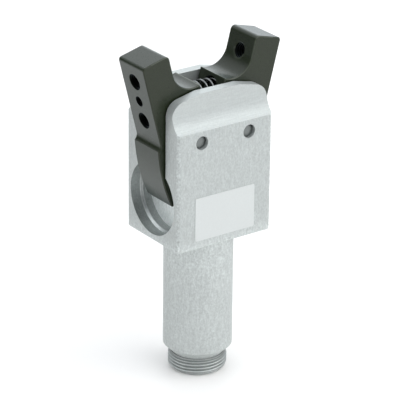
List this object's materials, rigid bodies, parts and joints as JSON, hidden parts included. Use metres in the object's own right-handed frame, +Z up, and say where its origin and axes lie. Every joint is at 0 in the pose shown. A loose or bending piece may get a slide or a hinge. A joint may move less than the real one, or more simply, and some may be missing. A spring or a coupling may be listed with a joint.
{
  "type": "angular gripper",
  "caption": "Small angular gripper: two arms swing on pins in a slotted block as a cone on a piston spreads their tails, and a spring reopens them. Round clamping shank.",
  "frame": {"origin": "centre of the threaded end's lower face, on the shank's axis", "axes": "+Z up along the shank, towards the jaws; X is the direction in which the jaws open; the label faces -Y"},
  "size_m": [0.0462, 0.0251, 0.0995],
  "materials": {
    "body_anodised": "blasted, clear anodised",
    "jaw_anodised": "hard anodised, satin",
    "plug_aluminium": "turned",
    "pin_steel": "ground",
    "spring_steel": "drawn wire, bright",
    "hardened_steel": "hardened and ground",
    "screw_steel": "blackened",
    "rod_chrome": "ground, hard chromed",
    "bronze": "sintered bearing bronze",
    "elastomer": "matt",
    "guide_plastic": "filled plastic",
    "label": "bare plate, satin"
  },
  "bodies": {
    "body": {"body": "body_anodised", "label": "label", "pivot_pin_left": "pin_steel", "pivot_pin_right": "pin_steel", "rod_bush": "bronze", "rod_wiper": "elastomer", "end_plug": "plug_aluminium", "plug_seal": "elastomer", "retaining_ring": "spring_steel", "bumper": "elastomer", "jaw_spring": "spring_steel"},
    "jaw_left": {"jaw_left": "jaw_anodised", "pivot_bush_left": "bronze"},
    "jaw_right": {"jaw_right": "jaw_anodised", "pivot_bush_right": "bronze"},
    "piston": {"drive_cone": "hardened_steel", "piston_rod": "rod_chrome", "piston": "plug_aluminium", "piston_screw": "screw_steel", "piston_seal": "elastomer", "guide_ring": "guide_plastic"}
  },
  "joints": [
    {"name": "piston_slide", "type": "slide", "parent": "body", "child": "piston", "axis": [0, 0, 1], "range_m": [0, 0.00859], "stiffness_N_per_m": 740, "springref_m": -0.0034},
    {"name": "jaw_left_pivot", "type": "hinge", "parent": "body", "child": "jaw_left", "pos_m": [-0.008, 0, 0.075], "axis": [0, 1, 0], "range_deg": [0, 14.52], "deforming": ["jaw_spring"]},
    {"name": "jaw_right_pivot", "type": "hinge", "parent": "body", "child": "jaw_right", "pos_m": [0.008, 0, 0.075], "axis": [0, -1, 0], "range_deg": [0, 14.52], "deforming": ["jaw_spring"]}
  ],
  "couplings": [
    {"joint": "jaw_left_pivot", "follows": "piston_slide", "rad_per_m": 29.453},
    {"joint": "jaw_right_pivot", "follows": "piston_slide", "rad_per_m": 29.453}
  ]
}
